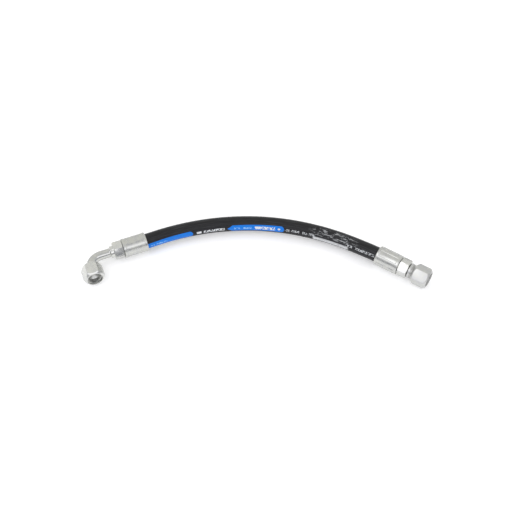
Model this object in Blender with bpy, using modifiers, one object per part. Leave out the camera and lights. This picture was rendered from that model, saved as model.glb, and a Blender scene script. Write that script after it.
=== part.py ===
"""Hydraulic hose assembly, in metres, +Z up, lying on the ground z = 0.

A short one-wire-braid hose with a crimped fitting on each end. One end is a stem with a bent tube and a
swivel nut at right angles, the other a straight stem with a swivel nut. Both nuts take a 37 degree flare.

Every fitting is built along its own +Z, which runs outwards from the hose's cut end, and its own +X points
at the ground. Two empties at the hose's cut ends carry the fittings.
"""

import math

import bmesh
import bpy
from mathutils import Matrix, Vector

# Clearances
GAP = 0.0003  # between pieces that touch on the real assembly

# Hose, from the bore outwards
HOSE_BORE = 0.0063
LINER_WALL = 0.00115
BRAID_WALL = 0.00045
COVER_WALL = 0.00115
HOSE_STEP = 0.013  # distance between the tube's rings

# Where the hose lies. The route's points are the free hose between the two ferrules.
ELBOW_CUT_END = (-0.1122, 0.0134)
ELBOW_HEADING = math.radians(-157.0)
STRAIGHT_CUT_END = (0.1185, -0.0047)
STRAIGHT_HEADING = math.radians(-34.0)
FREE_ROUTE = [
    (-0.0809, 0.0269),
    (-0.0657, 0.0323),
    (-0.0501, 0.0365),
    (-0.0347, 0.0393),
    (-0.0187, 0.0408),
    (-0.0026, 0.0410),
    (0.0130, 0.0398),
    (0.0289, 0.0372),
    (0.0445, 0.0332),
    (0.0593, 0.0281),
    (0.0741, 0.0217),
    (0.0884, 0.0142),
]

# Crimp ferrules
FERRULE_LENGTH = 0.0208
FERRULE_TAIL = 0.0030  # from the hose's cut end to the ferrule's outer end
FERRULE_WALL = 0.0017
FERRULE_FLANGE = 0.0015
CRIMP_LANDS = 8
CRIMP_DEPTH = 0.0003
RIDGE_ANGLE = math.radians(6.0)
MOUTH_RIM = 0.0020  # uncrimped rim at the hose end
TAIL_RIM = 0.0024  # uncrimped rim at the stem end

# Stems
NIPPLE_WALL = 0.00085
BARB_DEPTH = 0.0003
BARB_COUNT = 5
NECK_OD = 0.0086
LOCK_RING_STEP = 0.0009  # lock ring above the neck
LOCK_RING_LENGTH = 0.0008
STEM_HEX = 0.0142875  # 9/16 inch across flats
STEM_HEX_LENGTH = 0.0082
SOCKET_DEPTH = 0.0050
BOSS_WALL = 0.0010
BOSS_LENGTH = 0.0028

# Bent tube
TUBE_OD = 0.0080
TUBE_WALL = 0.0012
TUBE_LEAD = 0.0113  # straight tube between the stem's hexagon and the bend
BEND_RADIUS = 0.0110
BEND_STEPS = 10

# 37 degree seats and swivel nuts for a 1/2-20 flare
SEAT_WALL = 0.0011  # around the bent tube
SEAT_LENGTH = 0.0062
SEAT_SETBACK = 0.0009  # straight tube between the bend and the back of the seat
SEAT_RIM = 0.0005
SEAT_ANGLE = math.radians(37.0)
SEAT_SOCKET = 0.0024
NUT_WALL = 0.0022375  # from the thread to the flats, which makes 5/8 inch across flats
NUT_LENGTH = 0.0147
NUT_BACK = 0.0034
NUT_ENTRY_BEVEL = 0.0006
NUT_FRONT_BEVEL = 0.00085  # measured on the flats
NUT_REAR_BEVEL = 0.0016
COUNTERSINK_BEVEL = 0.0009
COUNTERSINK_LAND = 0.0008
NUT_TAIL_LENGTH = 0.0032
NUT_TAIL_RING = 0.0020
NUT_TAIL_STEP = 0.0013  # tail ring below the flats
NUT_TAIL_GROOVE = 0.0006
NUT_TAIL_STANDOFF = 0.0006  # gap between the stem's hexagon and the nut's tail

# Hexagons: turn about the fitting's axis, where 0 puts a corner at the ground and 30 degrees a flat
ELBOW_HEX_TURN = math.radians(30.0)
STRAIGHT_HEX_TURN = math.radians(13.0)

TURN_STEPS = 48
STEM_STEPS = 32
TUBE_RESOLUTION = 6
HOSE_RESOLUTION = 4
BLANK_MARGIN = 0.0003  # turned blanks stand this far outside a hexagon's corners
CUT_MARGIN = 0.0020  # cutters run this far past what they cut

# Sizes that follow
LINER_OD = HOSE_BORE + 2 * LINER_WALL
BRAID_ID = LINER_OD + 2 * GAP
BRAID_OD = BRAID_ID + 2 * BRAID_WALL
COVER_ID = BRAID_OD + 2 * GAP
HOSE_OD = COVER_ID + 2 * COVER_WALL
FERRULE_BORE = HOSE_OD + 2 * GAP
FERRULE_OD = FERRULE_BORE + 2 * FERRULE_WALL
HOSE_INSERT = FERRULE_LENGTH - FERRULE_TAIL  # hose inside the ferrule
FERRULE_END = FERRULE_TAIL
FLANGE_HOLE = NECK_OD + 2 * GAP
LOCK_RING_END = FERRULE_END - FERRULE_FLANGE - GAP
LOCK_RING_OD = NECK_OD + 2 * LOCK_RING_STEP
NIPPLE_OD = HOSE_BORE - 2 * GAP
STEM_BORE = NIPPLE_OD - 2 * NIPPLE_WALL
HEX_START = FERRULE_END + GAP
HEX_END = HEX_START + STEM_HEX_LENGTH
BEND_START = HEX_END + TUBE_LEAD
SHANK_OD = TUBE_OD  # so that both ends take the same nut
TUBE_SOCKET = TUBE_OD + 2 * GAP
SEAT_OD = TUBE_SOCKET + 2 * SEAT_WALL
THREAD_MINOR = SEAT_OD + 2 * GAP
NUT_HEX = THREAD_MINOR + 2 * NUT_WALL
NUT_CORNER = NUT_HEX / math.sqrt(3)
# The straight end stands on a corner of its nut, unless the ferrules are wider than that.
AXIS_HEIGHT = max(NUT_CORNER * math.cos(STRAIGHT_HEX_TURN), FERRULE_OD / 2)

MATERIALS = {
    "hose_rubber": ((0.012, 0.012, 0.013), 0.0, 0.45),
    "liner_rubber": ((0.020, 0.020, 0.020), 0.0, 0.70),
    "braid_wire": ((0.55, 0.50, 0.38), 1.0, 0.35),
    "zinc_ferrule": ((0.62, 0.63, 0.62), 1.0, 0.32),
    "zinc_stem": ((0.60, 0.61, 0.62), 1.0, 0.28),
    "zinc_tube": ((0.64, 0.64, 0.64), 1.0, 0.25),
    "zinc_nut": ((0.66, 0.67, 0.63), 1.0, 0.30),
}


def clear_scene():
    for leftover in list(bpy.data.objects):
        bpy.data.objects.remove(leftover, do_unlink=True)


def new_collection(name):
    collection = bpy.data.collections.new(name)
    bpy.context.scene.collection.children.link(collection)
    return collection


def make_material(name):
    colour, metallic, roughness = MATERIALS[name]
    material = bpy.data.materials.new(name)
    material.use_nodes = True
    shader = material.node_tree.nodes["Principled BSDF"]
    shader.inputs["Base Color"].default_value = (*colour, 1.0)
    shader.inputs["Metallic"].default_value = metallic
    shader.inputs["Roughness"].default_value = roughness
    return material


def add_object(name, data, collection, parent=None, location=(0.0, 0.0, 0.0)):
    piece = bpy.data.objects.new(name, data)
    collection.objects.link(piece)
    piece.parent = parent
    piece.location = location
    return piece


def add_frame(name, parent, location, rotation):
    """An empty that carries the pieces of one fitting."""
    frame = add_object(name, None, PARTS, parent, location)
    frame.empty_display_size = 0.01
    frame.rotation_euler = rotation
    return frame


def finish(piece, material_name):
    """The piece's material, and smooth shading up to its sharp edges."""
    piece.data.materials.append(SLOTS[material_name])
    if piece.type == "MESH":
        piece.data.shade_smooth()
        piece.data.set_sharp_from_angle(angle=math.radians(30.0))
    return piece


def hide_cutter(cutter):
    cutter.hide_render = True
    cutter.display_type = "WIRE"
    return cutter


def turned(name, outline, steps, parent, location=(0.0, 0.0, 0.0)):
    """A turned piece. The outline is (radius, height) points, down the outside and back up the bore."""
    mesh = bpy.data.meshes.new(name)
    corners = [(radius, 0.0, height) for radius, height in outline]
    edges = [(i, (i + 1) % len(corners)) for i in range(len(corners))]
    mesh.from_pydata(corners, edges, [])
    piece = add_object(name, mesh, PARTS, parent, location)
    screw = piece.modifiers.new("turn", "SCREW")
    screw.axis = "Z"
    screw.steps = steps
    screw.render_steps = steps
    screw.use_merge_vertices = True
    screw.merge_threshold = 0.000001
    return piece


def prism(name, outlines, low, high, parent):
    """A cutter with straight sides: closed flat outlines of (x, y) points, filled between two heights."""
    flat = bpy.data.curves.new(name, "CURVE")
    flat.dimensions = "2D"
    flat.fill_mode = "BOTH"
    flat.extrude = (high - low) / 2
    for outline in outlines:
        spline = flat.splines.new("POLY")
        spline.points.add(len(outline) - 1)
        for point, (x, y) in zip(spline.points, outline):
            point.co = (x, y, 0.0, 1.0)
        spline.use_cyclic_u = True
    curve = bpy.data.objects.new(name + "_outline", flat)
    CUTTERS.objects.link(curve)
    seen = bpy.context.evaluated_depsgraph_get()
    mesh = bpy.data.meshes.new_from_object(curve.evaluated_get(seen))
    bpy.data.objects.remove(curve)
    weld(mesh)
    cutter = add_object(name, mesh, CUTTERS, parent, (0.0, 0.0, (low + high) / 2))
    return hide_cutter(cutter)


def weld(mesh):
    shape = bmesh.new()
    shape.from_mesh(mesh)
    bmesh.ops.remove_doubles(shape, verts=shape.verts, dist=0.000001)
    bmesh.ops.recalc_face_normals(shape, faces=shape.faces)
    shape.to_mesh(mesh)
    shape.free()


def boolean(piece, cutter, operation):
    cut = piece.modifiers.new(cutter.name, "BOOLEAN")
    cut.operation = operation
    cut.solver = "EXACT"
    cut.object = cutter


def circle_points(radius, angles):
    return [(radius * math.cos(angle), radius * math.sin(angle)) for angle in angles]


def hexagonal(piece, across_flats, turn, low, high):
    """Keeps what is inside a hexagonal bar, so that a turned blank gets its spanner flats."""
    angles = [turn + math.radians(60 * corner) for corner in range(6)]
    outline = circle_points(across_flats / math.sqrt(3), angles)
    bar = prism(piece.name + "_bar", [outline], low - CUT_MARGIN, high + CUT_MARGIN, piece)
    boolean(piece, bar, "INTERSECT")


def smooth_route(points, step):
    """Points about one step apart on a smooth curve through the given points."""
    padded = [2 * points[0] - points[1], *points, 2 * points[-1] - points[-2]]
    fine = []
    per_stretch = 24
    for before, start, end, after in zip(padded, padded[1:], padded[2:], padded[3:]):
        reach = (end - start).length
        leave = (end - before) / (end - before).length * reach
        arrive = (after - start) / (after - start).length * reach
        for i in range(per_stretch):
            t = i / per_stretch
            fine.append(
                start * (2 * t**3 - 3 * t**2 + 1)
                + leave * (t**3 - 2 * t**2 + t)
                + end * (3 * t**2 - 2 * t**3)
                + arrive * (t**3 - t**2)
            )
    fine.append(points[-1])
    travelled = [0.0]
    for a, b in zip(fine, fine[1:]):
        travelled.append(travelled[-1] + (b - a).length)
    count = round(travelled[-1] / step)
    route = [fine[0]]
    nearest = 0
    for i in range(1, count):
        target = travelled[-1] * i / count
        while travelled[nearest + 1] < target:
            nearest += 1
        share = (target - travelled[nearest]) / (travelled[nearest + 1] - travelled[nearest])
        route.append(fine[nearest].lerp(fine[nearest + 1], share))
    route.append(fine[-1])
    return route


def pipe(name, points, outer_radius, wall, resolution, parent=None):
    """An open-ended tube: a bevelled curve without caps, whose wall is added inwards."""
    line = bpy.data.curves.new(name, "CURVE")
    line.dimensions = "3D"
    line.bevel_depth = outer_radius
    line.bevel_resolution = resolution
    line.use_fill_caps = False
    spline = line.splines.new("POLY")
    spline.points.add(len(points) - 1)
    for point, place in zip(spline.points, points):
        point.co = (*place, 1.0)
    spline.use_smooth = True
    piece = add_object(name, line, PARTS, parent)
    shell = piece.modifiers.new("wall", "SOLIDIFY")
    shell.thickness = wall
    shell.offset = -1.0
    return piece


def mouth_point(cut_end, heading):
    """The middle of a ferrule's mouth, and the point half way back to the hose's cut end."""
    end = Vector((*cut_end, AXIS_HEIGHT))
    inwards = -Vector((math.cos(heading), math.sin(heading), 0.0))
    return end, end + inwards * (HOSE_INSERT / 2), end + inwards * HOSE_INSERT


def hose():
    elbow_side = mouth_point(ELBOW_CUT_END, ELBOW_HEADING)
    straight_side = mouth_point(STRAIGHT_CUT_END, STRAIGHT_HEADING)
    free = [Vector((x, y, AXIS_HEIGHT)) for x, y in FREE_ROUTE]
    route = smooth_route([*elbow_side, *free, *reversed(straight_side)], HOSE_STEP)
    layers = [
        ("inner_tube", LINER_OD, LINER_WALL, "liner_rubber"),
        ("wire_braid", BRAID_OD, BRAID_WALL, "braid_wire"),
        ("outer_cover", HOSE_OD, COVER_WALL, "hose_rubber"),
    ]
    for name, diameter, wall, material_name in layers:
        finish(pipe(name, route, diameter / 2, wall, HOSE_RESOLUTION), material_name)


def crimp_outline():
    """The section that the crimping dies leave: lands with a narrow ridge between each two."""
    land = FERRULE_OD / 2 - CRIMP_DEPTH
    ridge = FERRULE_OD / 2 + GAP
    points = []
    pitch = math.tau / CRIMP_LANDS
    for k in range(CRIMP_LANDS):
        middle = k * pitch
        points += circle_points(ridge, [middle - RIDGE_ANGLE / 3, middle + RIDGE_ANGLE / 3])
        start = middle + RIDGE_ANGLE
        span = pitch - 2 * RIDGE_ANGLE
        points += circle_points(land, [start + span * i / 4 for i in range(5)])
    return points


def ferrule(name, frame):
    mouth = -HOSE_INSERT
    outer = FERRULE_OD / 2
    bore = FERRULE_BORE / 2
    hole = FLANGE_HOLE / 2
    rounding = FERRULE_WALL / 3
    outline = [
        (hole, FERRULE_END),
        (outer - rounding, FERRULE_END),
        (outer, FERRULE_END - rounding),
        (outer, mouth + rounding),
        (outer - rounding, mouth),
        (bore + rounding, mouth),
        (bore, mouth + rounding),
        (bore, FERRULE_END - FERRULE_FLANGE),
        (hole, FERRULE_END - FERRULE_FLANGE),
    ]
    shell = turned(name, outline, TURN_STEPS, frame)
    surround = circle_points(outer + CUT_MARGIN, [math.tau * i / 24 for i in range(24)])
    dies = prism(name + "_dies", [surround, crimp_outline()], mouth + MOUTH_RIM, FERRULE_END - TAIL_RIM, shell)
    boolean(shell, dies, "DIFFERENCE")
    return finish(shell, "zinc_ferrule")


def nipple_outline():
    """The barbed end inside the hose, from the lock ring down to its tip."""
    crest = NIPPLE_OD / 2
    root = crest - BARB_DEPTH
    start = LOCK_RING_END - LOCK_RING_LENGTH - GAP
    tip = GAP - HOSE_INSERT
    pitch = (start - tip) / (BARB_COUNT + 1)
    points = [(crest, LOCK_RING_END - LOCK_RING_LENGTH)]
    for k in range(1, BARB_COUNT + 1):
        height = start - k * pitch
        points += [(crest, height), (root, height - BARB_DEPTH)]
    return [*points, (crest, tip + pitch / 3), (root, tip), (STEM_BORE / 2, tip)]


def stem_outline():
    """A stem's hexagon, neck, lock ring and nipple, down the outside from the hexagon's outer face."""
    corner = STEM_HEX / math.sqrt(3) + BLANK_MARGIN
    face = STEM_HEX / 2
    chamfer = (corner - face) * math.tan(math.radians(30.0))
    return [
        (face, HEX_END),
        (corner, HEX_END - chamfer),
        (corner, HEX_START + chamfer),
        (face, HEX_START),
        (NECK_OD / 2, HEX_START),
        (NECK_OD / 2, LOCK_RING_END),
        (LOCK_RING_OD / 2, LOCK_RING_END),
        (LOCK_RING_OD / 2, LOCK_RING_END - LOCK_RING_LENGTH),
        *nipple_outline(),
    ]


def seat_cone(top, bore):
    """The 37 degree seat, from its bore up to the rim of the face at the top."""
    rim = SEAT_OD / 2 - SEAT_RIM
    return [(bore, top - (rim - bore) / math.tan(SEAT_ANGLE)), (rim, top)]


def elbow_stem(frame):
    socket = TUBE_SOCKET / 2
    boss_end = HEX_END + BOSS_LENGTH
    outline = [
        (socket, boss_end),
        (socket + BOSS_WALL, boss_end),
        (socket + BOSS_WALL, HEX_END),
        *stem_outline(),
        (STEM_BORE / 2, boss_end - SOCKET_DEPTH),
        (socket, boss_end - SOCKET_DEPTH),
    ]
    stem = turned("elbow_stem", outline, STEM_STEPS, frame)
    hexagonal(stem, STEM_HEX, ELBOW_HEX_TURN, -HOSE_INSERT, boss_end)
    return finish(stem, "zinc_stem")


def straight_stem(frame, nut_rear):
    seat_back = nut_rear + NUT_BACK + GAP
    seat_front = seat_back + SEAT_LENGTH
    outline = [
        (SEAT_OD / 2, seat_front),
        (SEAT_OD / 2, seat_back),
        (SHANK_OD / 2, seat_back),
        (SHANK_OD / 2, HEX_END),
        *stem_outline(),
        *seat_cone(seat_front, STEM_BORE / 2),
    ]
    stem = turned("straight_stem", outline, STEM_STEPS, frame)
    hexagonal(stem, STEM_HEX, STRAIGHT_HEX_TURN, -HOSE_INSERT, seat_front)
    return finish(stem, "zinc_stem")


def bent_tube(frame):
    start = HEX_END + BOSS_LENGTH - SOCKET_DEPTH + GAP
    foot = SEAT_SETBACK + SEAT_SOCKET - GAP
    points = [(0.0, 0.0, start)]
    for i in range(BEND_STEPS + 1):
        angle = math.radians(90.0) * i / BEND_STEPS
        across = BEND_RADIUS * (1 - math.cos(angle))
        along = BEND_RADIUS * math.sin(angle)
        points.append((0.0, across, BEND_START + along))
    points.append((0.0, BEND_RADIUS + foot, BEND_START + BEND_RADIUS))
    tube = pipe("bent_tube", points, TUBE_OD / 2, TUBE_WALL, TUBE_RESOLUTION, frame)
    return finish(tube, "zinc_tube")


def seat_sleeve(outlet):
    """The seat on the bent tube's end, which the nut pulls on."""
    socket = TUBE_SOCKET / 2
    bore = TUBE_OD / 2 - TUBE_WALL
    outline = [
        (SEAT_OD / 2, SEAT_LENGTH),
        (SEAT_OD / 2, 0.0),
        (socket, 0.0),
        (socket, SEAT_SOCKET),
        (bore, SEAT_SOCKET),
        *seat_cone(SEAT_LENGTH, bore),
    ]
    sleeve = turned("elbow_seat_sleeve", outline, STEM_STEPS, outlet, (0.0, 0.0, SEAT_SETBACK))
    return finish(sleeve, "zinc_stem")


def swivel_nut(name, frame, rear, rear_points, turn, low):
    """A hexagonal nut whose rear face is at the height rear. rear_points are its outline past that face."""
    blank = NUT_CORNER + BLANK_MARGIN
    front = NUT_HEX / 2 - NUT_FRONT_BEVEL
    back = NUT_HEX / 2 - NUT_REAR_BEVEL
    thread = THREAD_MINOR / 2
    outline = [
        (thread + NUT_ENTRY_BEVEL, NUT_LENGTH),
        (front, NUT_LENGTH),
        (blank, NUT_LENGTH - (blank - front)),
        (blank, blank - back),
        (back, 0.0),
        *rear_points,
        (thread, NUT_BACK),
        (thread, NUT_LENGTH - NUT_ENTRY_BEVEL),
    ]
    nut = turned(name, outline, TURN_STEPS, frame, (0.0, 0.0, rear))
    hexagonal(nut, NUT_HEX, turn, low, NUT_LENGTH)
    return finish(nut, "zinc_nut")


def elbow_nut(outlet):
    hole = TUBE_SOCKET / 2
    rear_points = [(hole + COUNTERSINK_BEVEL, 0.0), (hole, NUT_BACK - COUNTERSINK_LAND), (hole, NUT_BACK)]
    rear = SEAT_SETBACK - GAP - NUT_BACK
    return swivel_nut("elbow_swivel_nut", outlet, rear, rear_points, ELBOW_HEX_TURN, 0.0)


def straight_nut(frame, rear):
    hole = SHANK_OD / 2 + GAP
    ring = NUT_HEX / 2 - NUT_TAIL_STEP
    groove = ring - NUT_TAIL_GROOVE
    rear_points = [
        (groove, 0.0),
        (groove, NUT_TAIL_RING - NUT_TAIL_LENGTH),
        (ring, NUT_TAIL_RING - NUT_TAIL_LENGTH),
        (ring, -NUT_TAIL_LENGTH),
        (hole, -NUT_TAIL_LENGTH),
        (hole, NUT_BACK),
    ]
    return swivel_nut("straight_swivel_nut", frame, rear, rear_points, STRAIGHT_HEX_TURN, -NUT_TAIL_LENGTH)


def fitting_frame(name, cut_end, heading):
    """An empty at a cut end of the hose: +Z runs out along the heading and +X points at the ground."""
    return add_frame(name, None, (*cut_end, AXIS_HEIGHT), (0.0, math.radians(90.0), heading))


def elbow_end():
    frame = fitting_frame("elbow_end", ELBOW_CUT_END, ELBOW_HEADING)
    ferrule("elbow_ferrule", frame)
    elbow_stem(frame)
    bent_tube(frame)
    bend_end = (0.0, BEND_RADIUS, BEND_START + BEND_RADIUS)
    outlet = add_frame("elbow_outlet", frame, bend_end, (math.radians(-90.0), 0.0, 0.0))
    seat_sleeve(outlet)
    elbow_nut(outlet)


def straight_end():
    frame = fitting_frame("straight_end", STRAIGHT_CUT_END, STRAIGHT_HEADING)
    nut_rear = HEX_END + NUT_TAIL_STANDOFF + NUT_TAIL_LENGTH
    ferrule("straight_ferrule", frame)
    straight_stem(frame, nut_rear)
    straight_nut(frame, nut_rear)


clear_scene()
PARTS = new_collection("hydraulic_hose_assembly")
CUTTERS = new_collection("cutters")
SLOTS = {name: make_material(name) for name in MATERIALS}
hose()
elbow_end()
straight_end()
bpy.context.view_layer.update()
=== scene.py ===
# %% [markdown]
# # A hydraulic hose with a fitting crimped on each end
#
# This lesson dresses a hydraulic hose assembly. The frame that it starts from holds the plain, correctly
# sized solids. Here they get what makes them look made: crimp marks, spanner chamfers, cut threads, a
# printed rubber cover and plated steel.
#
# Every piece is modelled round the world's Z axis, as if it stood on a turntable, and is then laid in its
# place. That keeps each step as simple as it would be by hand.

import math

import bmesh
import bpy
from mathutils import Matrix, Vector


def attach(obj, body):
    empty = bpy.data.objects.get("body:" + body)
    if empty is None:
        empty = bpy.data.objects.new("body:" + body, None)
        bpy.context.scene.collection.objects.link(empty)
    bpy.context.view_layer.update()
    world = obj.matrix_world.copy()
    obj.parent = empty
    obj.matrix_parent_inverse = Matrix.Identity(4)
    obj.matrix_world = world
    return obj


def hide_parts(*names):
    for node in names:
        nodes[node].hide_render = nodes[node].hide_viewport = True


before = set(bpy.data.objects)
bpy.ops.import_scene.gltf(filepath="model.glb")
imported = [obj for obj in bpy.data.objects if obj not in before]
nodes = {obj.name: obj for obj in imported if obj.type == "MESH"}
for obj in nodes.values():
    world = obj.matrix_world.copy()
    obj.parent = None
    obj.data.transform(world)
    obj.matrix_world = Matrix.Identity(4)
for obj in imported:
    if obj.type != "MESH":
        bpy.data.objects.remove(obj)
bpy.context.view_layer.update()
ROOT = "hose_and_fittings"

# %% [markdown]
# ## The camera
#
# The assembly lies on a table and is looked at from the front and above, at about 50 degrees. A long lens
# from two thirds of a metre keeps the far end of the hose from shrinking much. The camera could be turned
# with a Track To constraint, but writing its rotation from the elevation leaves nothing live behind.

# %% Camera
AIM = Vector((-0.00055, 0.01125, 0.0))
ELEVATION = math.radians(51.0)
DISTANCE = 0.650
LENS = 52.6

bpy.ops.object.camera_add(
    location=AIM + DISTANCE * Vector((0.0, -math.cos(ELEVATION), math.sin(ELEVATION))),
    rotation=(math.pi / 2 - ELEVATION, 0.0, 0.0),
)
camera = bpy.context.object
camera.name = "camera"
camera.data.lens = LENS
camera.data.sensor_width = 36.0
camera.data.clip_start = 0.01
bpy.context.scene.camera = camera
print("camera at", [round(v, 3) for v in camera.location])

# %% [markdown]
# ## The hose's route
#
# A hose has no shape of its own: it has a length, and it lies where its two fittings let it. Its route is a
# list of points on one smooth curve, level with the fittings' axes, that starts and ends square inside the
# ferrules. Points a few millimetres apart then follow a spline through them, so the tube shows no corners.

# %% Route of the hose
AXIS_HEIGHT = 0.008931
HOSE_INSERT = 0.0178
HOSE_OD = 0.0130
HOSE_BORE = 0.0107
ROUTE_STEP = 0.0016
ELBOW_CUT_END = Vector((-0.1122, 0.0134, AXIS_HEIGHT))
ELBOW_HEADING = math.radians(-157.0)
STRAIGHT_CUT_END = Vector((0.1185, -0.0047, AXIS_HEIGHT))
STRAIGHT_HEADING = math.radians(-34.0)
FREE_ROUTE = [
    (-0.0809, 0.0269),
    (-0.0657, 0.0323),
    (-0.0501, 0.0365),
    (-0.0347, 0.0393),
    (-0.0187, 0.0408),
    (-0.0026, 0.0410),
    (0.0130, 0.0398),
    (0.0289, 0.0372),
    (0.0445, 0.0332),
    (0.0593, 0.0281),
    (0.0741, 0.0217),
    (0.0884, 0.0142),
]


def heading_vector(angle):
    return Vector((math.cos(angle), math.sin(angle), 0.0))


def inside_ferrule(cut_end, heading):
    """The hose's cut end, the middle of the ferrule and its mouth."""
    inwards = -heading_vector(heading)
    return [cut_end, cut_end + inwards * HOSE_INSERT / 2, cut_end + inwards * HOSE_INSERT]


def smooth_route(points, step):
    """Points about one step apart on a smooth curve through the given points."""
    padded = [2 * points[0] - points[1], *points, 2 * points[-1] - points[-2]]
    fine = []
    for before, start, end, after in zip(padded, padded[1:], padded[2:], padded[3:]):
        reach = (end - start).length
        leave = (end - before).normalized() * reach
        arrive = (after - start).normalized() * reach
        for i in range(24):
            t = i / 24
            fine.append(
                start * (2 * t**3 - 3 * t**2 + 1)
                + leave * (t**3 - 2 * t**2 + t)
                + end * (3 * t**2 - 2 * t**3)
                + arrive * (t**3 - t**2)
            )
    fine.append(points[-1])
    travelled = [0.0]
    for a, b in zip(fine, fine[1:]):
        travelled.append(travelled[-1] + (b - a).length)
    count = round(travelled[-1] / step)
    route = [fine[0]]
    nearest = 0
    for i in range(1, count):
        target = travelled[-1] * i / count
        while travelled[nearest + 1] < target:
            nearest += 1
        share = (target - travelled[nearest]) / (travelled[nearest + 1] - travelled[nearest])
        route.append(fine[nearest].lerp(fine[nearest + 1], share))
    return [*route, fine[-1]], travelled[-1]


start_side = inside_ferrule(ELBOW_CUT_END, ELBOW_HEADING)
end_side = inside_ferrule(STRAIGHT_CUT_END, STRAIGHT_HEADING)
free_side = [Vector((x, y, AXIS_HEIGHT)) for x, y in FREE_ROUTE]
route, hose_length = smooth_route([*start_side, *free_side, *reversed(end_side)], ROUTE_STEP)
print("hose cut length", round(hose_length, 4), "m in", len(route), "points")

# %% [markdown]
# ## The hose's cover
#
# The cover is a rubber tube. It could be a curve with a bevel, but the print has to follow the hose, and
# for that each point of the mesh should know how far along and how far round it is. So a ring of edges is
# extruded from point to point, turned a little each time to stay square to the route, and each ring's
# distance and side are kept in an attribute that the material reads.

# %% Hose cover
HOSE_SIDES = 72


def ring_points(centre, ahead, radius, sides):
    """A ring square to the route: 0 degrees is level, on the side of -Y, and 90 degrees is straight up."""
    side = Vector((ahead.y, -ahead.x, 0.0)).normalized()
    up = Vector((0.0, 0.0, 1.0))
    angles = [math.tau * i / sides for i in range(sides)]
    return [centre + side * (radius * math.cos(a)) + up * (radius * math.sin(a)) for a in angles]


def hose_cover(name, line, outer, inner, sides):
    shape = bmesh.new()
    along = shape.verts.layers.float_vector.new("hose_lay")
    walls = []
    travelled = 0.0
    for i, centre in enumerate(line):
        ahead = line[min(i + 1, len(line) - 1)] - line[max(i - 1, 0)]
        if i:
            travelled += (centre - line[i - 1]).length
        rings = []
        for radius in (outer, inner):
            ring = [shape.verts.new(p) for p in ring_points(centre, ahead, radius, sides)]
            for k, vert in enumerate(ring):
                angle = math.tau * k / sides
                vert[along] = (travelled, math.cos(angle), math.sin(angle))
            rings.append(ring)
        walls.append(rings)
    for k in range(sides):
        n = (k + 1) % sides
        for (outside, inside), (next_outside, next_inside) in zip(walls, walls[1:]):
            shape.faces.new((outside[k], next_outside[k], next_outside[n], outside[n]))
            shape.faces.new((inside[k], inside[n], next_inside[n], next_inside[k]))
        first, last = walls[0], walls[-1]
        shape.faces.new((first[0][k], first[0][n], first[1][n], first[1][k]))
        shape.faces.new((last[0][k], last[1][k], last[1][n], last[0][n]))
    bmesh.ops.recalc_face_normals(shape, faces=shape.faces)
    mesh = bpy.data.meshes.new(name)
    shape.to_mesh(mesh)
    shape.free()
    mesh.shade_smooth()
    piece = bpy.data.objects.new(name, mesh)
    bpy.context.scene.collection.objects.link(piece)
    return piece


hose = hose_cover("hose_cover", route, HOSE_OD / 2, HOSE_BORE / 2, HOSE_SIDES)
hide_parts("outer_cover")
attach(hose, ROOT)
print("cover faces", len(hose.data.polygons))

# %% [markdown]
# ## Working as on a lathe
#
# Most of a fitting is turned. By hand, a turned piece starts as one vertex, which is extruded from corner to
# corner of its half section, and the finished outline is spun round Z. Cylinders and insets could be stacked
# instead, but an outline keeps every diameter and length in one short list. Small curves in its corners,
# worked out before the spin, catch the light as the real broken edges do.

# %% Lathe tools


def only(piece):
    """Leaves this one piece selected and active."""
    bpy.ops.object.select_all(action="DESELECT")
    piece.select_set(True)
    bpy.context.view_layer.objects.active = piece


def eased(outline, corners, curve_steps=3):
    """Rounds the listed corners of a closed outline. corners maps a corner's number to its radius."""
    points = []
    for i, corner in enumerate(outline):
        here = Vector(corner)
        radius = corners.get(i, 0.0)
        if not radius:
            points.append(here)
            continue
        back = Vector(outline[i - 1]) - here
        ahead = Vector(outline[(i + 1) % len(outline)]) - here
        half = back.angle(ahead) / 2
        cut = min(radius / math.tan(half), back.length * 0.45, ahead.length * 0.45)
        start = here + back.normalized() * cut
        end = here + ahead.normalized() * cut
        for k in range(curve_steps + 1):
            t = k / curve_steps
            points.append(start.lerp(here, t).lerp(here.lerp(end, t), t))
    return points


def half_section(name, outline):
    """Extrudes one vertex from corner to corner of an outline of (radius, height) points, and closes it."""
    bpy.ops.object.select_all(action="DESELECT")
    bpy.ops.mesh.primitive_plane_add(size=0.001)
    piece = bpy.context.object
    piece.name = name
    bpy.ops.object.mode_set(mode="EDIT")
    bpy.ops.mesh.select_mode(type="VERT")
    bpy.ops.mesh.select_all(action="SELECT")
    bpy.ops.mesh.merge(type="CENTER")
    bpy.ops.transform.translate(value=(outline[0][0], 0.0, outline[0][1]))
    for (r0, z0), (r1, z1) in zip(outline, outline[1:]):
        bpy.ops.mesh.extrude_vertices_move(TRANSFORM_OT_translate={"value": (r1 - r0, 0.0, z1 - z0)})
    shape = bmesh.from_edit_mesh(piece.data)
    for vert in shape.verts:
        vert.select_set(len(vert.link_edges) == 1)
    bmesh.update_edit_mesh(piece.data)
    bpy.ops.mesh.edge_face_add()
    return piece


def lathe(name, outline, steps=96):
    """Spins a half section round Z."""
    piece = half_section(name, outline)
    bpy.ops.mesh.select_all(action="SELECT")
    bpy.ops.mesh.spin(steps=steps, angle=math.tau, center=(0, 0, 0), axis=(0, 0, 1))
    bpy.ops.mesh.select_all(action="SELECT")
    bpy.ops.mesh.remove_doubles(threshold=0.0000005)
    bpy.ops.mesh.normals_make_consistent(inside=False)
    bpy.ops.object.mode_set(mode="OBJECT")
    return piece


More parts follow.
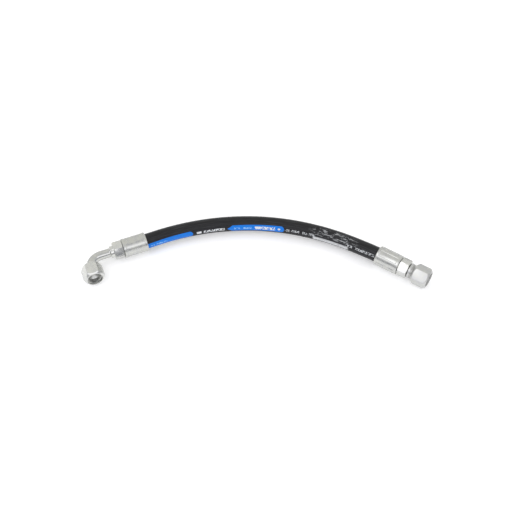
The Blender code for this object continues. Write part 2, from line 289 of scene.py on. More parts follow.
def hexagon_bar(name, across_flats, turn, low, high):
    """A long hexagonal bar. Blender's cylinder has a corner on +Y, so it is turned from there."""
    bpy.ops.object.select_all(action="DESELECT")
    bpy.ops.mesh.primitive_cylinder_add(
        vertices=6,
        radius=across_flats / math.sqrt(3),
        depth=high - low,
        location=(0.0, 0.0, (low + high) / 2),
        rotation=(0.0, 0.0, turn - math.radians(30.0)),
    )
    bar = bpy.context.object
    bar.name = name
    bpy.ops.object.transform_apply(location=True, rotation=True, scale=True)
    return bar


def apply_boolean(piece, tool, operation):
    """Cuts or joins with another piece, which is used up."""
    only(piece)
    cut = piece.modifiers.new(operation.lower(), "BOOLEAN")
    cut.operation = operation
    cut.solver = "EXACT"
    cut.object = tool
    bpy.ops.object.modifier_apply(modifier=cut.name)
    bpy.data.objects.remove(tool)


def break_edges(piece, width, angle=math.radians(22.0)):
    """A fine bevel on every edge sharper than the angle, as tumbling and plating leave them."""
    only(piece)
    bevel = piece.modifiers.new("broken_edges", "BEVEL")
    bevel.width = width
    bevel.segments = 2
    bevel.limit_method = "ANGLE"
    bevel.angle_limit = angle
    bevel.use_clamp_overlap = True
    bevel.loop_slide = False
    bpy.ops.object.modifier_apply(modifier=bevel.name)


def lay(piece, matrix):
    """Lays a finished piece in its place and leaves its object at the origin."""
    only(piece)
    piece.matrix_world = matrix
    bpy.ops.object.transform_apply(location=True, rotation=True, scale=True)
    bpy.ops.object.shade_smooth_by_angle(angle=math.radians(35.0))
    print(piece.name, len(piece.data.polygons), "faces")


def fitting_matrix(cut_end, heading):
    """+Z runs out of the hose's end, and +X points at the ground."""
    turn = Matrix.Rotation(heading, 4, "Z") @ Matrix.Rotation(math.pi / 2, 4, "Y")
    return Matrix.Translation(cut_end) @ turn


ELBOW_FRAME = fitting_matrix(ELBOW_CUT_END, ELBOW_HEADING)
STRAIGHT_FRAME = fitting_matrix(STRAIGHT_CUT_END, STRAIGHT_HEADING)

# %% [markdown]
# ## Crimped ferrules
#
# A ferrule is a soft steel sleeve. A ring of eight die jaws closes on it, and where two jaws meet a narrow
# ridge of metal is left standing. The rim at the hose's side stays uncrimped and rounded.
#
# The lands could be cut with booleans, but pressing them is nearer the real thing: the sleeve is turned with
# enough steps round, the faces under each jaw are selected by their place, inset a little so that the metal
# slopes at the land's edge, and drawn in towards the axis.

# %% Ferrules
GAP = 0.0003
FERRULE_END = 0.0030
FERRULE_MOUTH = -HOSE_INSERT
FERRULE_RADIUS = 0.0085
FERRULE_BORE = 0.0068
FERRULE_WEB = 0.0015
NECK_HOLE = 0.0046
JAWS = 8
STEPS_PER_JAW = 16
CRIMP_START = FERRULE_MOUTH + 0.0020
CRIMP_END = FERRULE_END - 0.0022
CRIMP_DRAW = 0.965
LAND_SLOPE = 0.00035
CRIMPED_EDGE = 0.00012


def ferrule_blank(name):
    outline = [
        (NECK_HOLE, FERRULE_END),
        (FERRULE_RADIUS, FERRULE_END),
        (FERRULE_RADIUS, CRIMP_END),
        (FERRULE_RADIUS, CRIMP_START),
        (FERRULE_RADIUS, FERRULE_MOUTH),
        (FERRULE_BORE, FERRULE_MOUTH),
        (FERRULE_BORE, FERRULE_END - FERRULE_WEB),
        (NECK_HOLE, FERRULE_END - FERRULE_WEB),
    ]
    easing = {0: 0.0003, 1: 0.00035, 4: 0.0009, 5: 0.0005, 7: 0.0002}
    return lathe(name, eased(outline, easing, 5), JAWS * STEPS_PER_JAW)


def press_lands(piece, turn):
    """Selects the faces under each jaw, one jaw at a time, and presses them in."""
    pitch = math.tau / JAWS
    for jaw in range(JAWS):
        bpy.ops.object.mode_set(mode="EDIT")
        bpy.ops.mesh.select_mode(type="FACE")
        bpy.ops.mesh.select_all(action="DESELECT")
        shape = bmesh.from_edit_mesh(piece.data)
        middle = turn + jaw * pitch
        for face in shape.faces:
            place = face.calc_center_median()
            if not CRIMP_START < place.z < CRIMP_END:
                continue
            if math.hypot(place.x, place.y) < (FERRULE_RADIUS + FERRULE_BORE) / 2:
                continue
            off = (math.atan2(place.y, place.x) - middle + math.pi) % math.tau - math.pi
            face.select_set(abs(off) < pitch * (0.5 - 1.0 / STEPS_PER_JAW))
        bmesh.update_edit_mesh(piece.data)
        bpy.ops.mesh.inset(thickness=LAND_SLOPE, use_boundary=True)
        bpy.ops.transform.resize(value=(CRIMP_DRAW, CRIMP_DRAW, 1.0), center_override=(0.0, 0.0, 0.0))
        bpy.ops.object.mode_set(mode="OBJECT")


def ferrule(name, node, matrix, turn):
    sleeve = ferrule_blank(name)
    press_lands(sleeve, turn)
    break_edges(sleeve, CRIMPED_EDGE, math.radians(12.0))
    lay(sleeve, matrix)
    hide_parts(node)
    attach(sleeve, ROOT)
    return sleeve


elbow_ferrule = ferrule("crimped_ferrule_elbow", "elbow_ferrule", ELBOW_FRAME, math.radians(90.0))
straight_ferrule = ferrule("crimped_ferrule_straight", "straight_ferrule", STRAIGHT_FRAME, math.radians(68.0))

# %% [markdown]
# ## Hexagons
#
# A hexagon on a turned piece is what is left of round bar when six flats are milled, or of hexagonal bar when
# its ends are turned down. Either way the round and the hexagonal shape are intersected, and the curved
# chamfer lines across the corners come by themselves. That is why a boolean is used here and not a six-sided
# cylinder with bevelled ends, whose corners would be straight.

# %% Stems
STEM_HEX = 0.0142875
STEM_CORNER = STEM_HEX / math.sqrt(3)
HEX_START = 0.00306
HEX_END = 0.0115
BOSS_END = HEX_END + 0.0028
SOCKET_FOOT = BOSS_END - 0.0050
NECK_RADIUS = 0.0043
LOCK_RING_RADIUS = 0.0052
LOCK_RING_FRONT = 0.0012
LOCK_RING_BACK = 0.0004
NIPPLE_RADIUS = 0.00285
NIPPLE_TIP = -0.0182
NIPPLE_LEAD = 0.0007
MILLED_EDGE = 0.00014
BORE_RADIUS = 0.0020
SHANK_RADIUS = 0.0040
SEAT_RADIUS = 0.0054
SEAT_LENGTH = 0.0062
SEAT_RIM = 0.0005
SEAT_ANGLE = math.radians(37.0)
TUBE_RADIUS = 0.0040
TUBE_BORE = 0.0028
ELBOW_HEX_TURN = math.radians(30.0)
STRAIGHT_HEX_TURN = math.radians(13.0)
BLANK_RADIUS = STEM_CORNER + GAP


def chamfer_height(outer, inner, degrees=30.0):
    return (outer - inner) * math.tan(math.radians(degrees))


def hex_outline():
    """The spanner hexagon's half section from its outer face to the stem's tip, before the flats are cut."""
    face = STEM_HEX / 2 - 0.0001
    drop = chamfer_height(BLANK_RADIUS, face)
    return [
        (face, HEX_END),
        (BLANK_RADIUS, HEX_END - drop),
        (BLANK_RADIUS, HEX_START + drop),
        (face, HEX_START),
        (NECK_RADIUS, HEX_START),
        (NECK_RADIUS, LOCK_RING_FRONT),
        (LOCK_RING_RADIUS, LOCK_RING_FRONT),
        (LOCK_RING_RADIUS, LOCK_RING_BACK),
        (NIPPLE_RADIUS, LOCK_RING_BACK),
        (NIPPLE_RADIUS, NIPPLE_TIP + NIPPLE_LEAD),
        (NIPPLE_RADIUS - 0.0004, NIPPLE_TIP),
        (BORE_RADIUS, NIPPLE_TIP),
    ]


def mill_flats(piece, across_flats, turn, low, high):
    bar = hexagon_bar(piece.name + "_bar", across_flats, turn, low, high)
    apply_boolean(piece, bar, "INTERSECT")
    break_edges(piece, MILLED_EDGE)


def elbow_stem_blank():
    """The boss ends in a fillet of braze that runs up onto the tube."""
    socket = TUBE_RADIUS + GAP
    outline = [
        (TUBE_RADIUS + 0.00004, BOSS_END + 0.0009),
        (TUBE_RADIUS + 0.0003, BOSS_END + 0.0003),
        (socket + 0.0007, BOSS_END),
        (socket + 0.0010, BOSS_END - 0.0004),
        (socket + 0.0010, HEX_END),
        *hex_outline(),
        (BORE_RADIUS, SOCKET_FOOT),
        (socket, SOCKET_FOOT),
    ]
    return lathe("elbow_stem_body", eased(outline, {1: 0.0006, 2: 0.0003}), 96)


def straight_stem_blank(seat_back):
    seat_front = seat_back + SEAT_LENGTH
    rim = SEAT_RADIUS - SEAT_RIM
    cone = seat_front - (rim - BORE_RADIUS) / math.tan(SEAT_ANGLE)
    outline = [
        (SEAT_RADIUS, seat_front),
        (SEAT_RADIUS, seat_back),
        (SHANK_RADIUS, seat_back),
        (SHANK_RADIUS, HEX_END),
        *hex_outline(),
        (BORE_RADIUS, cone),
        (rim, seat_front),
    ]
    return lathe("straight_stem_body", eased(outline, {0: 0.0002, 1: 0.0002}), 96)


def fit_stem(piece, node, turn, matrix, top):
    mill_flats(piece, STEM_HEX, turn, -0.03, top + 0.001)
    lay(piece, matrix)
    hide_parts(node)
    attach(piece, ROOT)
    return piece


NUT_LENGTH = 0.0147
NUT_BACK = 0.0034
NUT_TAIL_LENGTH = 0.0032
NUT_STANDOFF = 0.0006
STRAIGHT_NUT_REAR = HEX_END + NUT_STANDOFF + NUT_TAIL_LENGTH
straight_seat_back = STRAIGHT_NUT_REAR + NUT_BACK + GAP
elbow_stem = fit_stem(elbow_stem_blank(), "elbow_stem", ELBOW_HEX_TURN, ELBOW_FRAME, 0.02)
straight_stem = fit_stem(
    straight_stem_blank(straight_seat_back), "straight_stem", STRAIGHT_HEX_TURN, STRAIGHT_FRAME, 0.03
)

# %% [markdown]
# ## The bent tube
#
# The elbow is steel tube, bent cold and brazed into the stem at one end and into the seat at the other. A
# curve with a bevel would do too. Here a ring is extruded along the first straight, spun through the bend
# and extruded again, as the tube itself runs, and the wall is then added inwards. The mesh stays plain quads.

# %% Bent tube
BEND_START = HEX_END + 0.0113
BEND_RADIUS = 0.0110
TUBE_FOOT = 0.0030
TUBE_SIDES = 64


def bent_tube():
    start = SOCKET_FOOT + GAP
    bpy.ops.object.select_all(action="DESELECT")
    bpy.ops.mesh.primitive_circle_add(vertices=TUBE_SIDES, radius=TUBE_RADIUS, location=(0.0, 0.0, start))
    piece = bpy.context.object
    piece.name = "elbow_tube"
    bpy.ops.object.transform_apply(location=True, rotation=True, scale=True)
    bpy.ops.object.mode_set(mode="EDIT")
    bpy.ops.mesh.select_all(action="SELECT")
    bpy.ops.mesh.extrude_region_move(TRANSFORM_OT_translate={"value": (0.0, 0.0, BEND_START - start)})
    bpy.ops.mesh.spin(steps=32, angle=math.pi / 2, center=(0.0, BEND_RADIUS, BEND_START), axis=(1, 0, 0))
    bpy.ops.mesh.extrude_region_move(TRANSFORM_OT_translate={"value": (0.0, TUBE_FOOT, 0.0)})
    bpy.ops.mesh.select_all(action="SELECT")
    bpy.ops.mesh.remove_doubles(threshold=0.0000005)
    bpy.ops.mesh.normals_make_consistent(inside=False)
    bpy.ops.object.mode_set(mode="OBJECT")
    wall = piece.modifiers.new("wall", "SOLIDIFY")
    wall.thickness = TUBE_RADIUS - TUBE_BORE
    wall.offset = -1.0
    bpy.ops.object.modifier_apply(modifier=wall.name)
    print("tube, mm", [round(side * 1000, 2) for side in piece.dimensions])
    return piece


tube = bent_tube()
lay(tube, ELBOW_FRAME)
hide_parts("bent_tube")
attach(tube, ROOT)

# %% [markdown]
# ## Seat sleeve
#
# The seat is a short turned sleeve on the tube's end. Its 37 degree cone is the sealing face, and its back
# shoulder is what the nut pulls on.

# %% Seat sleeve
OUTLET_FRAME = (
    ELBOW_FRAME
    @ Matrix.Translation((0.0, BEND_RADIUS, BEND_START + BEND_RADIUS))
    @ Matrix.Rotation(-math.pi / 2, 4, "X")
)
SEAT_SETBACK = 0.0009
SEAT_SOCKET = 0.0024


def seat_sleeve():
    socket = TUBE_RADIUS + GAP
    rim = SEAT_RADIUS - SEAT_RIM
    cone = SEAT_LENGTH - (rim - TUBE_BORE) / math.tan(SEAT_ANGLE)
    outline = [
        (SEAT_RADIUS, SEAT_LENGTH),
        (SEAT_RADIUS, 0.0),
        (socket, 0.0),
        (socket, SEAT_SOCKET),
        (TUBE_BORE, SEAT_SOCKET),
        (TUBE_BORE, cone),
        (rim, SEAT_LENGTH),
    ]
    return lathe("elbow_seat", eased(outline, {0: 0.0002, 1: 0.0006}), 80)


seat = seat_sleeve()
lay(seat, OUTLET_FRAME @ Matrix.Translation((0.0, 0.0, SEAT_SETBACK)))
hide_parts("elbow_seat_sleeve")
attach(seat, ROOT)

# %% [markdown]
# ## Swivel nuts
#
# Each nut is turned from hexagonal bar: a wide chamfer at the back, a narrower one in front, and a thread
# inside. The body is made like the stems. The thread is a separate ridge: one tooth's section, swept round
# and forward by a Screw modifier, a turn for each pitch. It could be painted on as a bump, but the light in
# the nut's mouth shows whether the grooves are there.

# %% Nuts
NUT_HEX = 0.015875
NUT_CORNER = NUT_HEX / math.sqrt(3)
NUT_BLANK = NUT_CORNER + GAP
NUT_FACE = NUT_HEX / 2 - 0.00085
NUT_REAR_FACE = NUT_HEX / 2 - 0.0016
NUT_ENTRY = 0.0064
THREAD_MINOR = 0.0057
THREAD_MAJOR = 0.00625
THREAD_PITCH = 0.00127


def nut_blank(name, rear_points):
    back_drop = chamfer_height(NUT_BLANK, NUT_REAR_FACE, 45.0)
    outline = [
        (NUT_ENTRY, NUT_LENGTH),
        (NUT_FACE, NUT_LENGTH),
        (NUT_BLANK, NUT_LENGTH - chamfer_height(NUT_BLANK, NUT_FACE, 45.0)),
        (NUT_BLANK, back_drop),
        (NUT_REAR_FACE, 0.0),
        *rear_points,
        (THREAD_MAJOR, NUT_BACK),
        (THREAD_MAJOR, NUT_LENGTH - 0.0003),
    ]
    return lathe(name, eased(outline, {1: 0.0003, 4: 0.0003}), 120)


def thread_ridge(name):
    """One tooth between the root and the crest, swept from the seat to the nut's mouth."""
    half = THREAD_PITCH / 2 - 0.00008
    crest = 0.00016
    root = THREAD_MAJOR + 0.0001
    first = NUT_BACK + half + 0.0002
    section = [
        (root, first - half),
        (THREAD_MINOR, first - crest),
        (THREAD_MINOR, first + crest),
        (root, first + half),
    ]
    piece = half_section(name, section)
    bpy.ops.object.mode_set(mode="OBJECT")
    sweep = piece.modifiers.new("sweep", "SCREW")
    sweep.axis = "Z"
    sweep.steps = 64
    sweep.render_steps = 64
    sweep.screw_offset = THREAD_PITCH
    sweep.iterations = int((NUT_LENGTH - 0.0006 - half - first) / THREAD_PITCH)
    bpy.ops.object.modifier_apply(modifier=sweep.name)
    bpy.ops.object.mode_set(mode="EDIT")
    bpy.ops.mesh.select_all(action="DESELECT")
    bpy.ops.mesh.select_non_manifold()
    bpy.ops.mesh.fill_holes(sides=0)
    bpy.ops.mesh.select_all(action="SELECT")
    bpy.ops.mesh.normals_make_consistent(inside=False)
    bpy.ops.object.mode_set(mode="OBJECT")
    return piece


def fit_nut(name, node, rear_points, turn, low, matrix):
    nut = nut_blank(name, rear_points)
    mill_flats(nut, NUT_HEX, turn, low - 0.001, NUT_LENGTH + 0.001)
    lay(nut, matrix)
    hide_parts(node)
    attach(nut, node)
    thread = thread_ridge(name + "_thread")
    lay(thread, matrix)
    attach(thread, node)
    return nut, thread


tube_hole = TUBE_RADIUS + GAP
COUNTERSINK = 0.0026
elbow_rear = [(tube_hole + 0.0009, 0.0), (tube_hole, COUNTERSINK), (tube_hole, NUT_BACK)]
TAIL_RING = 0.0020
TAIL_RING_END = TAIL_RING - NUT_TAIL_LENGTH
tail_ring = NUT_HEX / 2 - 0.0013
tail_groove = tail_ring - 0.0006
straight_rear = [
    (tail_groove, 0.0),
    (tail_groove, TAIL_RING_END),
    (tail_ring, TAIL_RING_END),
    (tail_ring, -NUT_TAIL_LENGTH),
    (SHANK_RADIUS + GAP, -NUT_TAIL_LENGTH),
    (SHANK_RADIUS + GAP, NUT_BACK),
]
elbow_nut_matrix = OUTLET_FRAME @ Matrix.Translation((0.0, 0.0, SEAT_SETBACK - GAP - NUT_BACK))
straight_nut_matrix = STRAIGHT_FRAME @ Matrix.Translation((0.0, 0.0, STRAIGHT_NUT_REAR))
elbow_nut, elbow_thread = fit_nut(
    "elbow_nut", "elbow_swivel_nut", elbow_rear, ELBOW_HEX_TURN, 0.0, elbow_nut_matrix
)
straight_nut, straight_thread = fit_nut(
    "straight_nut",
    "straight_swivel_nut",
    straight_rear,
    STRAIGHT_HEX_TURN,
    -NUT_TAIL_LENGTH,
    straight_nut_matrix,
)

# %% [markdown]
# ## Materials
#
# A few helpers keep the node trees short: one adds a node with its settings, and each input can be a number
# or another node's output.

# %% Node helpers


class Shade:
    """The node tree of a new material, or of a world, with a short way to add to it."""

    def __init__(self, name, world=None):
        self.material = world or bpy.data.materials.new(name)
        self.material.use_nodes = True
        self.tree = self.material.node_tree
        self.shader = self.tree.nodes["Background" if world else "Principled BSDF"]

    def add(self, kind, inputs=None, output=0, **settings):
        made = self.tree.nodes.new(kind)
        for key, value in settings.items():
            setattr(made, key, value)
        for key, value in (inputs or {}).items():
            self.put(made.inputs[key], value)
        return made.outputs[output]

    def put(self, socket, value):
        if hasattr(value, "is_output"):
            self.tree.links.new(value, socket)
        else:
            socket.default_value = value

    def math(self, operation, a, b=0.0, clamp=False):
        return self.add("ShaderNodeMath", {0: a, 1: b}, operation=operation, use_clamp=clamp)

    def band(self, value, low, high, soft):
        """1 where the value lies between low and high, with soft edges."""
        rise = self.add("ShaderNodeMapRange", {0: value, 1: low - soft, 2: low + soft, 3: 0.0, 4: 1.0})
        fall = self.add("ShaderNodeMapRange", {0: value, 1: high - soft, 2: high + soft, 3: 1.0, 4: 0.0})
        return self.math("MULTIPLY", rise, fall)

    def mix(self, factor, a, b):
        node = self.tree.nodes.new("ShaderNodeMix")
        node.data_type = "RGBA"
        self.put(node.inputs[0], factor)
        self.put(node.inputs[6], a)
        self.put(node.inputs[7], b)
        return node.outputs[2]

    def noise(self, vector, scale, detail=3.0, roughness=0.5):
        return self.add(
            "ShaderNodeTexNoise",
            {"Vector": vector, "Scale": scale, "Detail": detail, "Roughness": roughness},
        )

    def bump(self, height, strength, distance):
        return self.add("ShaderNodeBump", {"Height": height, "Strength": strength, "Distance": distance})


# %% [markdown]
# ## Plated steel
#
# All of the metal is steel with a clear zinc plating. It is bright but not a mirror: the plating is finely
# crystalline, a little milky, with a faint yellow and green tint where it is thin. Turned pieces also keep
# fine rings from the tool. Inside the nuts it is darker: duller, with oil left from threading, and painted
# shade stands for the shade deep in the bore. The pattern is placed with a Mapping node set to Texture, which
# turns the object's coordinates back to the lathe's own axis, so that the rings run round each fitting.

# %% Zinc plating


def lathe_coordinates(shade, matrix):
    place = shade.add("ShaderNodeTexCoord", output=3)
    return shade.add(
        "ShaderNodeMapping",
        {"Vector": place, "Location": matrix.translation, "Rotation": matrix.to_euler()},
        vector_type="TEXTURE",
    )


# Oily steel, made darker still as painted shade for the shade deep inside a nut's bore and thread.
OILY_STEEL_AND_PAINTED_SHADE = (0.42, 0.42, 0.40, 1.0)


def zinc(name, matrix, tone, roughness, rings, tint=0.35, oil_and_shade_bore=0.0):
    """rings is how deep the tool's marks are. Inside the last argument's radius the metal is darker: dull and
    oily, and painted shade for the shade deep in a nut's bore.
    """
    shade = Shade(name)
    local = lathe_coordinates(shade, matrix)
    broad = shade.noise(local, 260.0, 4.0)
    fine = shade.noise(local, 2600.0, 3.0)
    stretched = shade.add("ShaderNodeMapping", {"Vector": local, "Scale": (90.0, 90.0, 9000.0)})
    tool = shade.noise(stretched, 1.0, 2.0)
    patch = shade.add("ShaderNodeMapRange", {0: broad, 1: 0.40, 2: 0.66, 3: 0.0, 4: 1.0})
    bright = tuple(0.90 * c for c in tone)
    warm = (tone[0], tone[1] * 0.995, tone[2] * (1.0 - 0.12 * tint), 1.0)
    colour = shade.mix(patch, (*bright, 1.0), warm)
    # Inside this radius the colour is darkened: oil, and painted shade in the nut's bore and thread.
    if oil_and_shade_bore:
        parts = shade.tree.nodes.new("ShaderNodeSeparateXYZ")
        shade.put(parts.inputs[0], local)
        flat = shade.add("ShaderNodeCombineXYZ", {0: parts.outputs[0], 1: parts.outputs[1]})
        radius = shade.add("ShaderNodeVectorMath", {0: flat}, output=1, operation="LENGTH")
        inside = shade.math("LESS_THAN", radius, oil_and_shade_bore)
        colour = shade.mix(inside, colour, OILY_STEEL_AND_PAINTED_SHADE)
    shade.put(shade.shader.inputs["Base Color"], colour)
    shade.shader.inputs["Metallic"].default_value = 1.0
    spread = shade.add(
        "ShaderNodeMapRange", {0: broad, 1: 0.3, 2: 0.7, 3: roughness - 0.04, 4: roughness + 0.07}
    )
    shade.put(shade.shader.inputs["Roughness"], spread)
    grain = shade.math("MULTIPLY", fine, 0.4)
    marks = shade.math("MULTIPLY", tool, rings)
    dents = shade.math("MULTIPLY", broad, 1.6)
    height = shade.math("ADD", shade.math("ADD", grain, marks), dents)
    shade.put(shade.shader.inputs["Normal"], shade.bump(height, 0.35, 0.00003))
    return shade.material


def wear(piece, material):
    piece.data.materials.clear()
    piece.data.materials.append(material)


ZINC = (0.69, 0.695, 0.68)
DULL_ZINC = (0.60, 0.605, 0.59)
NUT_ZINC = (0.63, 0.635, 0.63)
wear(elbow_ferrule, zinc("plated_ferrule_elbow", ELBOW_FRAME, DULL_ZINC, 0.27, 0.2, 0.5))
wear(straight_ferrule, zinc("plated_ferrule_straight", STRAIGHT_FRAME, DULL_ZINC, 0.27, 0.2, 0.3))
wear(elbow_stem, zinc("plated_stem_elbow", ELBOW_FRAME, ZINC, 0.20, 0.8))
wear(straight_stem, zinc("plated_stem_straight", STRAIGHT_FRAME, ZINC, 0.20, 0.8))
wear(tube, zinc("plated_tube", ELBOW_FRAME, DULL_ZINC, 0.16, 0.1))
wear(seat, zinc("plated_seat", OUTLET_FRAME, DULL_ZINC, 0.30, 1.0))
# Radius inside which the nuts' bore and thread are darkened: oil, and painted shade for the shade in the bore.
NUT_OIL_AND_SHADE_RADIUS = 0.00605
elbow_nut_zinc = zinc("plated_nut_elbow", elbow_nut_matrix, ZINC, 0.26, 0.6, 0.3, NUT_OIL_AND_SHADE_RADIUS)
straight_nut_zinc = zinc("plated_nut_straight", straight_nut_matrix, NUT_ZINC, 0.36, 0.6, 0.4, NUT_OIL_AND_SHADE_RADIUS)
for piece in (elbow_nut, elbow_thread):
    wear(piece, elbow_nut_zinc)
for piece in (straight_nut, straight_thread):
    wear(piece, straight_nut_zinc)

# %% [markdown]
# ## Rubber cover and its print
#
# The cover is cured in a smooth sheath, so it is satin, with faint lines along it and pale dust and scuffs.
# A band of print runs along one side: blue bars and rows of pale marks. The marks here are small cells that
# are on or off at random. The print reads the cover's own attribute, which holds the distance along the hose
# and the angle round it, so it follows the curve. Distances in this material are in millimetres.

# %% Printed rubber
PRINT_TWIST = (18.5, 226.0, -0.45, 3.25)
FIRST_BAR = (0.0, 56.0)
SECOND_BAR = (92.0, 139.0)
BAR_HALF_WIDTH = 3.1
MARK_HEIGHT = 1.15
BLUE = (0.008, 0.19, 0.72, 1.0)
PALE_BLUE = (0.25, 0.50, 0.85, 1.0)
WHITE = (0.72, 0.74, 0.76, 1.0)
WORN_WHITE = (0.66, 0.67, 0.68, 1.0)
SCUFF_GREY = (0.44, 0.45, 0.46, 1.0)


def capsule(shade, along, across, start, end, radius):
    """1 within a radius of the stretch between start and end, so the bar's ends are round."""
    off_middle = shade.math("ABSOLUTE", shade.math("SUBTRACT", along, (start + end) / 2))
    past = shade.math("MAXIMUM", shade.math("SUBTRACT", off_middle, (end - start) / 2), 0.0)
    past_square = shade.math("POWER", past, 2.0)
    across_square = shade.math("POWER", shade.math("ABSOLUTE", across), 2.0)
    distance = shade.math("SQRT", shade.math("ADD", past_square, across_square))
    return shade.add("ShaderNodeMapRange", {0: distance, 1: radius - 0.15, 2: radius + 0.15, 3: 1.0, 4: 0.0})


def marks(shade, along, across, start, end, half_height, column, density):
    """Rows of small cells, on or off at random, with a gap now and then: print that says nothing."""
    across_cell = shade.math("FLOOR", shade.math("DIVIDE", across, half_height * 0.67))
    along_cell = shade.math("FLOOR", shade.math("DIVIDE", along, column))
    cell = shade.add("ShaderNodeCombineXYZ", {0: along_cell, 1: across_cell})
    dice = shade.add("ShaderNodeTexWhiteNoise", {"Vector": cell}, noise_dimensions="2D")
    filled = shade.math("LESS_THAN", dice, density)
    long_cell = shade.math("FLOOR", shade.math("DIVIDE", along, column * 2.5))
    word = shade.add("ShaderNodeCombineXYZ", {0: long_cell})
    gap = shade.add("ShaderNodeTexWhiteNoise", {"Vector": word}, noise_dimensions="2D")
    kept = shade.math("MULTIPLY", filled, shade.math("GREATER_THAN", gap, 0.13))
    row = shade.band(across, -half_height, half_height, 0.1)
    return shade.math("MULTIPLY", kept, shade.math("MULTIPLY", row, shade.band(along, start, end, 0.1)))


def printed_rubber():
    shade = Shade("printed_hose_cover")
    lay_of = shade.add("ShaderNodeAttribute", output=1, attribute_name="hose_lay")
    parts = shade.tree.nodes.new("ShaderNodeSeparateXYZ")
    shade.put(parts.inputs[0], lay_of)
    along = shade.math("MULTIPLY", parts.outputs[0], 1000.0)
    angle = shade.math("ARCTAN2", parts.outputs[2], parts.outputs[1])
    round_mm = shade.math("MULTIPLY", angle, HOSE_OD / 2 * 1000)
    start, end, low, high = PRINT_TWIST
    twist = shade.add("ShaderNodeMapRange", {0: along, 1: start, 2: end, 3: low, 4: high})
    across = shade.math("SUBTRACT", round_mm, twist)
    place = shade.add("ShaderNodeCombineXYZ", {0: along, 1: round_mm})
    width = shade.math("ABSOLUTE", across)

    streak_place = shade.add("ShaderNodeMapping", {"Vector": place, "Scale": (0.05, 1.6, 1.0)})
    streaks = shade.noise(streak_place, 1.0, 4.0, 0.6)
    dust = shade.noise(place, 0.9, 5.0, 0.6)
    black = shade.mix(dust, (0.007, 0.007, 0.008, 1.0), (0.019, 0.019, 0.020, 1.0))
    streak = shade.add("ShaderNodeMapRange", {0: streaks, 1: 0.48, 2: 0.66, 3: 0.0, 4: 0.8})
    colour = shade.mix(streak, black, (0.045, 0.046, 0.050, 1.0))

    bar_one = capsule(shade, along, across, *FIRST_BAR, BAR_HALF_WIDTH)
    bar_two = capsule(shade, along, across, *SECOND_BAR, BAR_HALF_WIDTH)
    point = shade.math("GREATER_THAN", shade.math("SUBTRACT", along, 90.5), shade.math("MULTIPLY", width, 1.6))
    blue = shade.math("MAXIMUM", bar_one, shade.math("MULTIPLY", bar_two, point))
    colour = shade.mix(blue, colour, BLUE)

    pale = shade.math(
        "MAXIMUM",
        marks(shade, along, across, 20.0, 35.0, 0.8, 0.55, 0.6),
        marks(shade, along, across, 96.5, 114.0, 0.95, 0.60, 0.6),
    )
    colour = shade.mix(pale, colour, PALE_BLUE)
    block_mark = shade.math(
        "MULTIPLY", shade.band(along, 62.6, 66.9, 0.15), shade.band(across, -1.2, 1.2, 0.15)
    )
    white = shade.math("MAXIMUM", block_mark, marks(shade, along, across, 69.0, 90.0, 1.3, 0.75, 0.66))
    bold = marks(shade, along, across, 115.5, 134.0, 1.5, 0.8, 0.74)
    dot = capsule(shade, along, across, 137.2, 137.8, 0.9)
    white = shade.math("MAXIMUM", white, shade.math("MAXIMUM", bold, dot))
    colour = shade.mix(white, colour, WHITE)
    small = marks(shade, along, across, 143.0, 171.0, MARK_HEIGHT, 0.6, 0.55)
    last = marks(shade, along, across, 199.0, 226.5, MARK_HEIGHT, 0.6, 0.55)
    thin = shade.math("MULTIPLY", shade.math("MAXIMUM", small, last), 0.65)
    colour = shade.mix(thin, colour, WHITE)

    rub_place = shade.add("ShaderNodeMapping", {"Vector": place, "Scale": (0.35, 1.3, 1.0)})
    rub = shade.noise(rub_place, 1.0, 5.0, 0.7)
    ragged = shade.add("ShaderNodeMapRange", {0: rub, 1: 0.28, 2: 0.52, 3: 0.10, 4: 0.95})
    block = shade.math("MULTIPLY", shade.band(along, 169.0, 202.0, 0.8), shade.band(round_mm, -2.3, 1.4, 0.4))
    colour = shade.mix(shade.math("MULTIPLY", block, ragged), colour, WORN_WHITE)
    stroke_place = shade.add("ShaderNodeMapping", {"Vector": place, "Scale": (0.16, 0.95, 1.0)})
    strokes = shade.noise(stroke_place, 1.0, 3.0, 0.7)
    scratches = shade.add("ShaderNodeMapRange", {0: strokes, 1: 0.53, 2: 0.58, 3: 0.0, 4: 0.8})
    scuffed = shade.math("MULTIPLY", shade.band(along, 168.0, 206.0, 5.0), shade.band(round_mm, 3.4, 10.5, 1.0))
    colour = shade.mix(shade.math("MULTIPLY", scuffed, scratches), colour, SCUFF_GREY)

    shade.put(shade.shader.inputs["Base Color"], colour)
    shade.shader.inputs["Specular IOR Level"].default_value = 0.22
    shade.put(shade.shader.inputs["Roughness"], shade.add("ShaderNodeMapRange", {0: dust, 3: 0.28, 4: 0.50}))
    shade.put(shade.shader.inputs["Normal"], shade.bump(streaks, 0.3, 0.0001))
    return shade.material


wear(hose, printed_rubber())

# %% [markdown]
# ## What stays inside
#
# The braid and the liner are hidden by the cover and the ferrules. They still get their own finish, so that
# the assembly is right when it is taken apart.

# %% Braid and liner


def braid_wire():
    shade = Shade("brass_coated_braid")
    place = shade.add("ShaderNodeTexCoord", output=3)
    slanted = shade.add("ShaderNodeMapping", {"Vector": place, "Rotation": (0.0, 0.0, math.radians(54.7))})
    wires = shade.add(
        "ShaderNodeTexWave", {"Vector": slanted, "Scale": 900.0, "Distortion": 0.4}, output=1
    )
    tone = shade.mix(wires, (0.30, 0.24, 0.12, 1.0), (0.78, 0.66, 0.38, 1.0))
    shade.put(shade.shader.inputs["Base Color"], tone)
    shade.shader.inputs["Metallic"].default_value = 1.0
    shade.shader.inputs["Roughness"].default_value = 0.35
    shade.put(shade.shader.inputs["Normal"], shade.bump(wires, 0.6, 0.0002))
    return shade.material


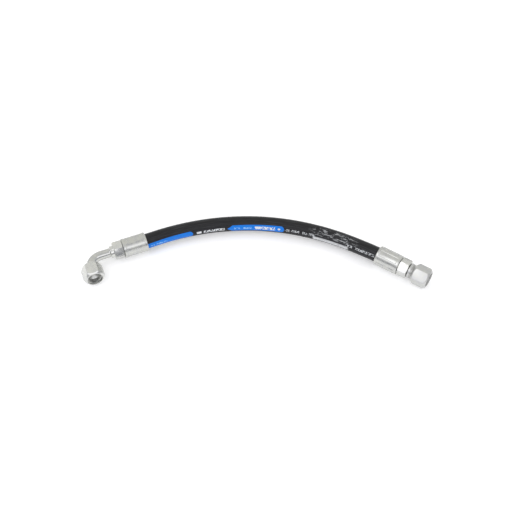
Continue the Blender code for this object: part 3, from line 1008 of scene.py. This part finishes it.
def liner_rubber():
    shade = Shade("nitrile_liner")
    place = shade.add("ShaderNodeTexCoord", output=3)
    mottle = shade.noise(place, 500.0, 3.0)
    tone = shade.mix(mottle, (0.015, 0.015, 0.015, 1.0), (0.035, 0.034, 0.033, 1.0))
    shade.put(shade.shader.inputs["Base Color"], tone)
    shade.put(shade.shader.inputs["Roughness"], shade.add("ShaderNodeMapRange", {0: mottle, 3: 0.5, 4: 0.7}))
    return shade.material


for name, material in (("wire_braid", braid_wire()), ("inner_tube", liner_rubber())):
    for slot in nodes[name].material_slots:
        slot.material = material

# %% [markdown]
# ## Table and light
#
# The assembly lies on a white table in soft studio light. The floor is one large plane that glows a little,
# so that it stays white. One broad lamp, high on the left, gives the soft shadows. Bright steel is seen
# mostly by what it reflects, so the rest of the light comes from the room itself: pale walls behind, darker
# ones low in front, and a bright strip high in front that draws the long highlights. More lamps could do the
# same, but each would add its own shadow.

# %% Floor and lights
LAMP_POWER = 2.2
DARK_WALL = (0.33, 0.34, 0.37, 1.0)
PALE_WALL = (0.90, 0.90, 0.88, 1.0)
CEILING = (0.78, 0.78, 0.80, 1.0)
STRIP_LIGHT = (1.60, 1.60, 1.67, 1.0)

bpy.ops.object.select_all(action="DESELECT")
bpy.ops.mesh.primitive_plane_add(size=6.0, location=(0.0, 0.0, -0.0001))
floor = bpy.context.object
floor.name = "table"
table_top = Shade("white_table")
table_top.shader.inputs["Base Color"].default_value = (0.92, 0.92, 0.92, 1.0)
table_top.shader.inputs["Roughness"].default_value = 0.7
table_top.shader.inputs["Specular IOR Level"].default_value = 0.1
table_top.shader.inputs["Emission Color"].default_value = (1.0, 1.0, 1.0, 1.0)
table_top.shader.inputs["Emission Strength"].default_value = 0.28
wear(floor, table_top.material)

LAMP_PLACE = Vector((-0.8, -0.3, 1.4))
bpy.ops.object.light_add(type="AREA", location=LAMP_PLACE)
lamp = bpy.context.object
lamp.name = "high_left"
lamp.data.shape = "SQUARE"
lamp.data.size = 0.8
lamp.data.energy = LAMP_POWER
lamp.rotation_euler = (-LAMP_PLACE).to_track_quat("-Z", "Y").to_euler()

studio = bpy.data.worlds.new("studio")
bpy.context.scene.world = studio
room = Shade("studio", studio)
direction = room.add("ShaderNodeTexCoord", output=0)
split = room.tree.nodes.new("ShaderNodeSeparateXYZ")
room.put(split.inputs[0], direction)
depth, rise = split.outputs[1], split.outputs[2]
to_back = room.add("ShaderNodeMapRange", {0: depth, 1: -0.2, 2: 0.4})
low_back = room.add("ShaderNodeMapRange", {0: rise, 1: 0.02, 2: 0.26})
low_front = room.add("ShaderNodeMapRange", {0: rise, 1: 0.16, 2: 0.52})
above = room.mix(to_back, CEILING, PALE_WALL)
height = room.add("ShaderNodeMix", {0: to_back, 2: low_front, 3: low_back})
walls = room.mix(height, DARK_WALL, above)
strip = room.band(rise, 0.46, 0.80, 0.05)
ahead = room.add("ShaderNodeMapRange", {0: depth, 1: -0.12, 2: -0.30})
strip_light = room.math("MULTIPLY", strip, ahead)
room.put(room.shader.inputs[0], room.mix(strip_light, walls, STRIP_LIGHT))
bpy.context.scene.view_settings.view_transform = "Standard"
